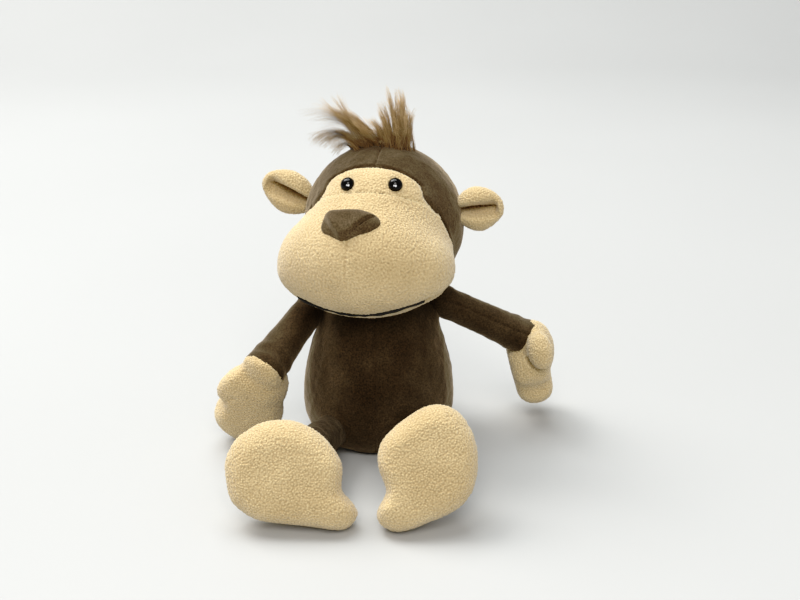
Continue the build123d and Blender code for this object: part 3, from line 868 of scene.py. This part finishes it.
def walk_round(corners, count):
    """Evenly spaced points round a closed outline whose corners have been rounded off."""
    outline = np.array(corners, float)
    for _ in range(3):
        following = np.roll(outline, -1, axis=0)
        outline = np.stack([0.75 * outline + 0.25 * following, 0.25 * outline + 0.75 * following], 1)
        outline = outline.reshape(-1, 2)
    closed = np.vstack([outline, outline[:1]])
    walked = np.concatenate([[0], np.cumsum(np.linalg.norm(np.diff(closed, axis=0), axis=1))])
    steps = np.linspace(0, walked[-1], count, endpoint=False)
    return np.stack([np.interp(steps, walked, closed[:, k]) for k in (0, 1)], 1)


def past_fold(points, start, end):
    """How far points lie to the left of the line from start to end."""
    run = unit(np.array(end) - np.array(start))
    away = points - np.array(start)
    return away[:, 1] * run[0] - away[:, 0] * run[1]


def make_nose():
    """Folded velour wedge, point down: a domed front between two facets that are tucked under it."""
    seat = muzzle_front(NOSE_SIDE, NOSE_LIFT)
    out = unit(seat - on_head(NOSE_SIDE, MUZZLE_FORWARD, -MUZZLE_DROP))
    level = np.cross(across, out)
    level *= np.sign(level[2])
    wide = across * cos(NOSE_ROLL) + level * sin(NOSE_ROLL)
    rise = level * cos(NOSE_ROLL) - across * sin(NOSE_ROLL)
    origin = seat - out * 2.5 * MM
    rings, segments = 80, 240
    edge = walk_round(NOSE_OUTLINE, segments) * MM
    shares = np.linspace(0, 1, rings + 1)
    flat = (shares[:, None, None] * edge[None]).reshape(-1, 2)
    share = np.repeat(shares, segments)
    height = NOSE_THICKNESS * np.sqrt(1 - share**3.2)
    for start, end, drop, width, crease in NOSE_FOLDS:
        gap = past_fold(flat, np.array(start) * MM, np.array(end) * MM)
        step = np.clip(gap / (width * MM), 0, 1)
        height -= drop * MM * step * step * (3 - 2 * step) * (1 - share**10)
        height -= crease * MM * np.exp(-(((gap - 0.5 * MM) / (0.8 * MM)) ** 2)) * (1 - share**8)
    points = origin + flat[:, :1] * wide + flat[:, 1:] * rise + height[:, None] * out
    nose = mesh_object("nose_wedge", points, ring_faces(rings + 1, segments))
    seal(nose)
    soften = nose.modifiers.new("soften", "SMOOTH")
    soften.iterations = 2
    bake(nose)
    nap(nose, 0.35 * MM)
    # The nose wears the lighter velour copy, which is painted light.
    return dress(nose, nose_velour_painted_light, "head", "nose_cover", "nose_stuffing")


def make_ear(side, sign):
    """Folded fleece cup: an upper and a lower roll with a deep slit between them."""
    root = pivot(f"ear_{side}_fold")
    tilt = EAR_TILT[side]
    out = across * sign * cos(tilt) + up * sin(tilt)
    rise = up * cos(tilt) - across * sign * sin(tilt)
    rings, segments = 150, 220
    points = []
    for ring in range(rings + 1):
        share = ring / rings
        polar = pi * share
        along = (1 - cos(polar)) / 2
        girth = sin(polar) ** 0.72 * (0.74 + 0.30 * sin(pi * along**0.9))
        for k in range(segments):
            turn = 2 * pi * k / segments
            y = girth * cos(turn)
            z = girth * sin(turn)
            slit = 0.0
            if z > 0:
                middle = y - 0.06 + 0.10 * along
                narrow, wide = EAR_SLIT_WIDTH
                slit = (dip(middle, (1, narrow + (wide - narrow) * along)) + dip(middle, EAR_CREASE)) * z
                slit *= np.clip((along - 0.02) / 0.08, 0, 1) * np.clip((0.93 - along) / 0.10, 0, 1)
            points.append(
                root
                - out * 4 * MM
                + out * along * (EAR_LENGTH[side] + 2 * MM)
                + rise * y * EAR_HALF_HEIGHT
                + front * (z * (EAR_HALF_DEPTH if z > 0 else EAR_BACK_DEPTH) - slit * EAR_SLIT)
            )
    ear = mesh_object(f"ear_{side}_cup", points, ring_faces(rings + 1, segments))
    seal(ear)
    curl(ear, 0.9 * CURL_HEIGHT)
    return dress(ear, fleece, f"ear_{side}", f"ear_front_{side}", f"ear_back_{side}")


for side, sign in sides.items():
    make_eye(side, sign)
    make_ear(side, sign)
make_mouth()
make_nose()

# Clumps of hair in mm: root across, bend and tip as (across, up), share of the strands, spread of the tips.
CLUMPS = [
    (-8, (-22, 31), (-55, 23), 0.06, 1.6),
    (-9, (-24, 28), (-44, 27), 0.07, 2.2),
    (-10, (-26, 23), (-39, 35), 0.03, 3.0),
    (-12, (-32, 22), (-53, 3), 0.07, 1.8),
    (-14, (-29, 15), (-48, 7), 0.05, 2.2),
    (-16, (-26, 11), (-36, -2), 0.03, 2.2),
    (-5, (-14, 23), (-29, 25), 0.06, 2.4),
    (-7, (-13, 15), (-24, 14), 0.10, 3.0),
    (-2, (-8, 14), (-17, 14), 0.10, 3.4),
    (4, (0, 15), (-7, 18), 0.12, 3.6),
    (6, (3, 20), (-2, 29), 0.06, 1.8),
    (9, (10, 24), (5, 43), 0.05, 2.4),
    (11, (15, 25), (12, 39), 0.08, 2.0),
    (14, (19, 20), (17, 29), 0.08, 2.0),
    (10, (14, 14), (10, 20), 0.07, 3.0),
]


def hair_point(root_a, aim, reach, offset, scatter):
    """Where a strand bends or ends: towards its clump's aim, offset with its lock and scattered."""
    a = root_a + (aim[0] - root_a) * reach + offset[0] + random.gauss(0, scatter)
    u = aim[1] * reach + offset[1] + random.gauss(0, scatter)
    f = offset[2] + random.gauss(0, scatter)
    return on_head(a * MM, f * MM, HOOD_RADIUS + u * MM)


def make_hair():
    """Soft strands that stand up from the crown in clumps and sweep to the monkey's right."""
    points = []
    faces = []
    tones = []
    segments = 7
    strand_faces = ring_faces(segments + 1, 3) + [(3 * segments, 3 * segments + 1, 3 * segments + 2)]
    for root_a, bend, tip, part, spread in CLUMPS:
        for strand in range(int(HAIR_STRANDS * part)):
            if strand % HAIR_LOCK == 0:
                lock_a = root_a + random.gauss(0, LOCK_SCATTER)
                lock_f = random.gauss(-1, LOCK_SCATTER)
                lock_tip = [random.gauss(0, spread), random.gauss(0, spread)]
                lock_tip.append(random.gauss(3, 1.5 + spread))
                lock_bend = (random.gauss(0, 1.5), random.gauss(0, 1.5), random.gauss(1, 3.0))
                lock_reach = random.triangular(0.5, 1.05, 0.95)
            a = (lock_a + random.gauss(0, ROOT_SCATTER)) * MM
            f = (lock_f + random.gauss(0, ROOT_SCATTER)) * MM
            start = on_head(a, f, sqrt(HOOD_RADIUS**2 - a**2 - f**2) - 1 * MM)
            reach = lock_reach * random.uniform(0.8, 1.03)
            end = hair_point(root_a, tip, reach, lock_tip, TIP_SCATTER)
            turning = hair_point(root_a, bend, reach, lock_bend, BEND_SCATTER)
            thick = random.uniform(*HAIR_THICKNESS)
            wave = random.uniform(0.2, 1.5) * MM
            shade = random.random()
            phase = random.uniform(0, 2 * pi)
            first = len(points)
            for k in range(segments + 1):
                t = k / segments
                centre = start * (1 - t) ** 2 + turning * 2 * t * (1 - t) + end * t**2
                centre = centre + (front * sin(phase + 5 * t) + up * cos(phase + 4 * t)) * wave * t
                size = thick * (1 - 0.8 * t)
                tones += [0.35 * shade + 0.65 * t] * 3
                for j in range(3):
                    angle = 2 * pi * j / 3
                    points.append(centre + (across * cos(angle) + front * sin(angle)) * size)
            faces += [tuple(first + corner for corner in face) for face in strand_faces]
    tuft = mesh_object("hair_fibres", points, faces)
    tone = tuft.data.attributes.new("tone", "FLOAT", "POINT")
    tone.data.foreach_set("value", tones)
    return dress(tuft, hair, "head", "hair_tuft")


make_hair()

# ==== torso and tail ====


def make_torso():
    """Pear-shaped velour body with a seam down its front and back and one down each side."""
    nodes = ["belly_panel_left", "belly_panel_right", "back_panel_left", "back_panel_right", "seat_panel"]
    extra = ["torso_stuffing", "seat_pellets", "pellet_pouch", "neck_wad"]
    extra += [f"{wad}_{side}" for wad in ("shoulder_wad", "hip_wad") for side in sides]
    torso = joined("torso_cover", nodes + extra)
    remesh(torso, COARSE, 3)

    def held(points):
        seam = np.minimum(np.abs(points[:, 0]), np.abs(points[:, 1]))
        firm = np.exp(-((seam / (4 * MM)) ** 2))
        return np.where(points[:, 2] < SEAT_EDGE, 1.0, 0.85 * firm)

    def front_seam(points):
        return np.where(points[:, 2] > SEAT_EDGE, points[:, 0] + BELLY_SEAM_SIDE, 1)

    def side_seam(points):
        return np.where(points[:, 2] > SEAT_EDGE, points[:, 1], 1)

    puff(torso, held)
    refine(torso, 3)
    groove(torso, front_seam, 1.3 * MM, 1.2 * MM)
    groove(torso, side_seam, 1.2 * MM, 1.2 * MM)
    nap(torso)
    points = points_of(torso)
    points[:, 2] = np.maximum(points[:, 2], 0)
    move_points(torso, points)
    return dress(torso, velour, "torso", *nodes, "torso_stuffing")


def make_tail():
    """Short velour tail."""
    tail = joined("tail_cover", ["tail_sleeve", "tail_stuffing"])
    remesh(tail, 2.5 * MM, 3)
    refine(tail, 2)
    nap(tail, 0.4 * MM)
    return dress(tail, velour, "tail", "tail_sleeve", "tail_stuffing")


make_torso()
make_tail()

# ==== limbs ====


def limb_form(name, root, end, radii):
    """Closed tube with ball-shaped ends, its radius running through three values."""
    run = end - root
    length = np.linalg.norm(run)
    run = run / length
    first, middle, last = radii
    profile = []
    for k in range(12):
        turn = pi / 2 * k / 12
        profile.append((first * sin(turn) + 0.05 * MM, -first * cos(turn)))
    for k in range(25):
        t = k / 24
        size = first * (1 - t) * (1 - 2 * t) + middle * 4 * t * (1 - t) + last * t * (2 * t - 1)
        profile.append((size, length * t))
    for k in range(1, 13):
        turn = pi / 2 * k / 12
        profile.append((last * cos(turn) + 0.05 * MM, length + CUFF_DOME * last * sin(turn)))
    return lathe(name, profile, root, up, run, 48)


def make_sleeve(kind, side, root, end, radii, seam_side):
    """Velour sleeve with a seam along it and soft creases near both ends."""
    sleeve = limb_form(f"{kind}_{side}_cover", root, end, radii)
    remesh(sleeve, 3.5 * MM, 2)
    run = end - root
    length = np.linalg.norm(run)
    run = run / length
    seam_side = unit(seam_side - run * np.dot(seam_side, run))
    other = np.cross(run, seam_side)

    def from_seam(points):
        away = points - root
        return np.where(away @ seam_side > 0, away @ other, 1)

    def held(points):
        along = (points - root) @ run
        ends = np.minimum(along, length - along)
        return np.where(ends < 4 * MM, 1.0, 0.8 * np.exp(-((from_seam(points) / (3 * MM)) ** 2)))

    puff(sleeve, held)
    refine(sleeve, 2)
    points = points_of(sleeve)
    if kind == "arm":
        top = unit(up - run * run[2])
        near_end = np.clip(((points - root) @ run - length + 14 * MM) / (14 * MM), 0, 1)
        points += (near_end * CUFF_SLANT[side] * ((points - root) @ top))[:, None] * run
        move_points(sleeve, points)
    along = (points - root) @ run / length
    angle = np.arctan2((points - root) @ other, (points - root) @ seam_side)
    crease = 0
    for strength, waves, spot, reach, (wander, turns, start) in CREASES:
        ripple = np.sin(along * waves + wander * np.sin(angle * turns + start))
        crease = crease + ripple * dip(along - spot, (strength * CREASE_HEIGHT[kind], reach))
    move_points(sleeve, points + normals_of(sleeve) * crease[:, None])
    groove(sleeve, from_seam, 0.9 * MM, 0.9 * MM)
    nap(sleeve, 0.7 * MM)
    # The legs wear the darker velour copy, which is painted shade.
    material = {"arm": velour, "leg": leg_velour_painted_shade}[kind]
    dress(sleeve, material, None, f"{kind}_sleeve_{side}", f"{kind}_stuffing_{side}")
    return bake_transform(sleeve)


def ellipsoid(name, centre, axes):
    """Ball stretched along three directions, given as vectors with their lengths."""
    shape = bmesh.new()
    bmesh.ops.create_icosphere(shape, subdivisions=5, radius=1)
    stretch = Matrix([[axes[k][row] for k in range(3)] for row in range(3)])
    for corner in shape.verts:
        corner.co = stretch @ corner.co + Vector(centre)
    return skin_object(name, shape)


def make_hand(side):
    """Fleece mitten: a plump pad and a thumb with a crease round it."""
    wrist = pivot(f"wrist_{side}_bend")
    thumb = np.array(joints[f"wrist_{side}_bend"]["axis"])
    nodes = [f"hand_palm_{side}", f"hand_back_{side}", f"hand_stuffing_{side}"]
    hand = joined(f"hand_{side}_cover", nodes)
    middle = points_of(hand).mean(axis=0)
    fingers = middle - wrist
    fingers -= thumb * np.dot(fingers, thumb)
    fingers /= np.linalg.norm(fingers)
    facing = np.cross(thumb, fingers)
    points = points_of(hand)
    along = ((points - wrist) @ fingers)[:, None]
    to_thumb, to_front = HAND_SHIFT[side]
    shift = (thumb * to_thumb + facing * to_front) * MM
    drawn_in = (HAND_SHARE[side] - 1) * along * fingers
    move_points(hand, points + drawn_in + np.clip(along / HAND_LENGTH, 0, 1) * shift)

    def at(place):
        return wrist + (thumb * place[0] + facing * place[1] + fingers * place[2]) * MM

    place, sizes, lean, fold = THUMBS[side]
    centre = at(place)
    long_way = fingers * cos(lean) + thumb * sin(lean)
    wide_way = thumb * cos(lean) - fingers * sin(lean)
    axes = [wide_way * sizes[0] * MM, facing * sizes[1] * MM, long_way * sizes[2] * MM]
    arm = unit(wrist - pivot(f"shoulder_{side}_raise"))
    level = unit(np.cross(arm, up))
    ring = CUFF_HALF[side] * MM
    cuff_axes = [arm * 8 * MM, level * ring, np.cross(arm, level) * ring]
    cuff = ellipsoid("cuff", wrist + arm * (CUFF_REACH[side] + 1.5) * MM, cuff_axes)
    heel_place, heel_sizes = HEELS[side]
    heel_axes = [way * size * MM for way, size in zip((thumb, facing, fingers), heel_sizes)]
    heel = ellipsoid("heel", at(heel_place), heel_axes)
    hand = merged(hand, ellipsoid("thumb", centre, axes), cuff, heel)
    remesh(hand, 3.0 * MM, 2)

    def thumb_distance(points):
        away = points - centre
        parts = [(away @ axis) / np.dot(axis, axis) for axis in axes]
        return (np.sqrt(parts[0] ** 2 + parts[1] ** 2 + parts[2] ** 2) - 1) * sizes[0] * MM

    def held(points):
        side_seam = np.exp(-(((points - middle) @ facing / (3 * MM)) ** 2))
        return np.where((points - wrist) @ fingers < 6 * MM, 1.0, 0.8 * side_seam)

    puff(hand, held)
    refine(hand, 3)

    def fold_distance(points):
        near_tip = np.clip(((points - centre) @ long_way + 2 * MM) / (5 * MM), 0, 1)
        gap = thumb_distance(points) - 1.6 * MM
        return gap + np.sign(gap) * (1 - near_tip) * 5 * MM

    groove(hand, fold_distance, fold * MM, 1.0 * MM)
    curl(hand)
    return dress(hand, fleece, f"hand_{side}", *nodes)


def make_foot(side):
    """Fleece foot: a plump pad whose sole faces ahead."""
    ankle = pivot(f"ankle_{side}_tip")
    nodes = [f"foot_sole_{side}", f"foot_top_{side}", f"foot_stuffing_{side}"]
    foot = joined(f"foot_{side}_cover", nodes)
    middle = points_of(foot).mean(axis=0)
    facing = unit(middle - ankle)
    root = ellipsoid("root", ankle + facing * 5 * MM, [axis * 14.5 * MM for axis in np.eye(3)])
    foot = merged(foot, root)
    remesh(foot, 3.4 * MM, 2)

    def held(points):
        return 0.8 * np.exp(-(((points - middle) @ facing / (3 * MM)) ** 2))

    puff(foot, held)
    refine(foot, 3)
    curl(foot)
    return dress(foot, fleece, f"foot_{side}", *nodes)


seam_sides = {"left": np.array((0.1, -0.9, 0.45)), "right": np.array((0.2, 0.9, 0.3))}
for side, sign in sides.items():
    shoulder = pivot(f"shoulder_{side}_raise")
    wrist = pivot(f"wrist_{side}_bend")
    cuff_end = wrist + (wrist - shoulder) / np.linalg.norm(wrist - shoulder) * CUFF_REACH[side] * MM
    make_sleeve("arm", side, shoulder, cuff_end, ARM_RADII[side], seam_sides[side])
    hip = pivot(f"hip_{side}_splay") + LEG_SUNK
    make_sleeve("leg", side, hip, pivot(f"ankle_{side}_tip"), LEG_RADII, np.array((0.0, 0.0, -1.0)))
    make_hand(side)
    make_foot(side)

# ==== what stays inside ====

for name, node in frame["nodes"].items():
    if node.hide_render:
        continue
    material = filling
    if "thread" in name:
        material = seam_brown
    elif "washer" in name:
        material = washer_white
    elif name == "pellet_pouch":
        material = pouch_cloth
    elif name == "seat_pellets":
        material = pellets
    elif name == "hair_strip":
        material = hair
    node.data.materials.clear()
    node.data.materials.append(material)

# ==== studio ====


def floor_material():
    """Plain pale paper."""
    material, tree, surface, place = shader("studio_paper")
    cloud = noise(tree, place, 0.9, 2.0)
    tone = ramp(tree, cloud, (0.3, (0.455, 0.455, 0.448)), (0.7, (0.478, 0.478, 0.471)))
    tree.links.new(tone, surface.inputs["Base Color"])
    settings(surface, {"Roughness": 0.75, "Specular IOR Level": 0.25})
    return material


def make_backdrop():
    """Floor that curves up into a wall behind."""
    reach = 4.0
    bend = 1.1
    back = 1.6
    profile = [(-4.0, 0.0)]
    profile += [
        (back + bend * sin(pi / 2 * k / 24), bend - bend * cos(pi / 2 * k / 24)) for k in range(25)
    ]
    profile.append((back + bend, 5.0))
    points = [(x, y, z) for y, z in profile for x in (-reach, reach)]
    faces = [(2 * k, 2 * k + 1, 2 * k + 3, 2 * k + 2) for k in range(len(profile) - 1)]
    backdrop = mesh_object("backdrop", points, faces)
    backdrop.data.materials.append(floor_material())
    return backdrop


def area_light(name, place, target, size, power, colour=(1, 1, 1)):
    """Soft square light."""
    lamp = bpy.data.lights.new(name, "AREA")
    lamp.shape = "SQUARE"
    lamp.size = size
    lamp.energy = power
    lamp.color = colour
    holder = placed(name, lamp)
    holder.location = place
    holder.rotation_euler = (Vector(target) - Vector(place)).to_track_quat("-Z", "Y").to_euler()
    return holder


backdrop = make_backdrop()
key = area_light("key", (-1.8, 0.9, 2.9), (0, 0, 0.08), 1.8, 88.0, (1.0, 0.985, 0.96))
top = area_light("top", (-0.4, 0.7, 3.4), (0, 0, 0.05), 2.4, 96.0, (0.93, 0.98, 1.0))
fill = area_light("fill", (0.1, -2.5, 2.6), (0, 0, 0.08), 1.8, 70.0, (1.0, 0.975, 0.93))

world = bpy.data.worlds.new("studio")
bpy.context.scene.world = world
world.use_nodes = True
world.node_tree.nodes["Background"].inputs["Color"].default_value = (0.97, 0.985, 1.0, 1)
world.node_tree.nodes["Background"].inputs["Strength"].default_value = 0.38

# ---- camera ----
CAMERA_TARGET = Vector((0.015, 0.0, 0.110))
CAMERA_DISTANCE = 0.740
CAMERA_ELEVATION = radians(20)
camera_data = bpy.data.cameras.new("camera")
camera_data.lens = 48.7
camera_data.shift_y = -0.0211
camera_data.clip_end = 50
camera = placed("camera", camera_data)
camera.location = CAMERA_TARGET + Vector(
    (0, -CAMERA_DISTANCE * cos(CAMERA_ELEVATION), CAMERA_DISTANCE * sin(CAMERA_ELEVATION))
)
camera.rotation_euler = (CAMERA_TARGET - camera.location).to_track_quat("-Z", "Y").to_euler()
bpy.context.scene.camera = camera

# ---- tone: plain display colours, with the deepest shadows a little deeper ----
view = bpy.context.scene.view_settings
view.view_transform = "Standard"
view.use_curve_mapping = True
toe = view.curve_mapping.curves[3]
for level, shown in ((0.018, 0.007), (0.045, 0.030), (0.10, 0.098), (0.5, 0.5)):
    toe.points.new(level, shown)
view.curve_mapping.update()
